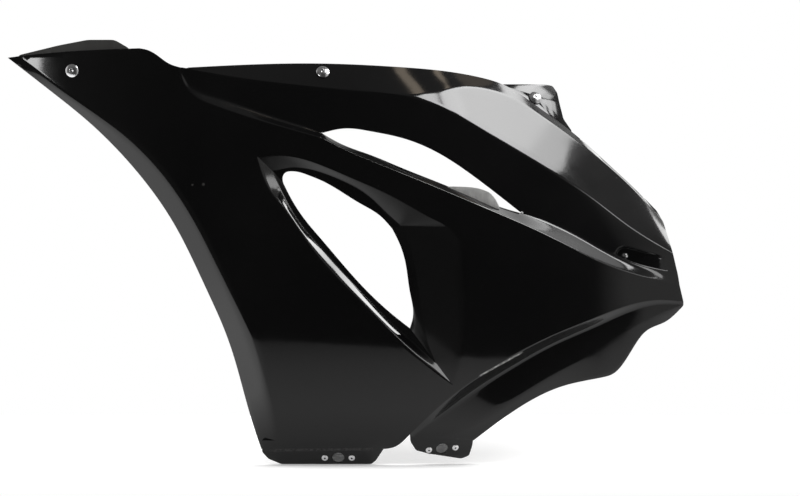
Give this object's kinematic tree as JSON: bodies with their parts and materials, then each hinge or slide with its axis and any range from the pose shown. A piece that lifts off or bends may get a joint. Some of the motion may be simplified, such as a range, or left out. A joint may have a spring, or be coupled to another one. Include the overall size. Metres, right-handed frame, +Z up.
{
  "type": "motorcycle fairing side panel",
  "caption": "Gloss black moulded fairing side panel with two air windows, a concave wheel-arch edge, joggled lower tabs and captive quarter-turn studs.",
  "frame": {"origin": "centre of the front lower tab's hole, in the middle of the wall", "axes": "+X to the rear of the motorcycle, +Y inboard, +Z up; the outside of the panel faces -Y"},
  "size_m": [0.878, 0.128, 0.551],
  "materials": {
    "gelcoat": "gloss black gelcoat on glass fibre",
    "stud_steel": "bright plated",
    "keeper_steel": "plain",
    "receptacle_steel": "stamped, plated",
    "spring_wire": "drawn wire",
    "rivet_aluminium": "plain",
    "screw_steel": "bright",
    "washer_nylon": "moulded"
  },
  "bodies": {
    "panel": {"side_panel": "gelcoat", "receptacle_front": "receptacle_steel", "receptacle_rear": "receptacle_steel", "receptacle_springs": "spring_wire", "tab_rivets": "rivet_aluminium", "pocket_screw": "screw_steel", "pocket_washer": "washer_nylon"},
    "front_fastener": {"stud_front": "stud_steel", "keeper_front": "keeper_steel"},
    "top_fastener": {"stud_top": "stud_steel", "keeper_top": "keeper_steel"},
    "rear_fastener": {"stud_rear": "stud_steel", "keeper_rear": "keeper_steel"}
  },
  "joints": [
    {"name": "front_stud_turn", "type": "hinge", "parent": "panel", "child": "front_fastener", "pos_m": [-0.345, -0.06336, 0.502], "axis": [-0.1693, -0.9856, 0], "range_deg": [0, 90]},
    {"name": "top_stud_turn", "type": "hinge", "parent": "panel", "child": "top_fastener", "pos_m": [-0.02, -0.04776, 0.5], "axis": [0.0999, -0.8567, 0.5061], "range_deg": [0, 90]},
    {"name": "rear_stud_turn", "type": "hinge", "parent": "panel", "child": "rear_fastener", "pos_m": [0.256, 0.02739, 0.467], "axis": [0.3941, -0.7881, 0.4729], "range_deg": [0, 90]}
  ]
}
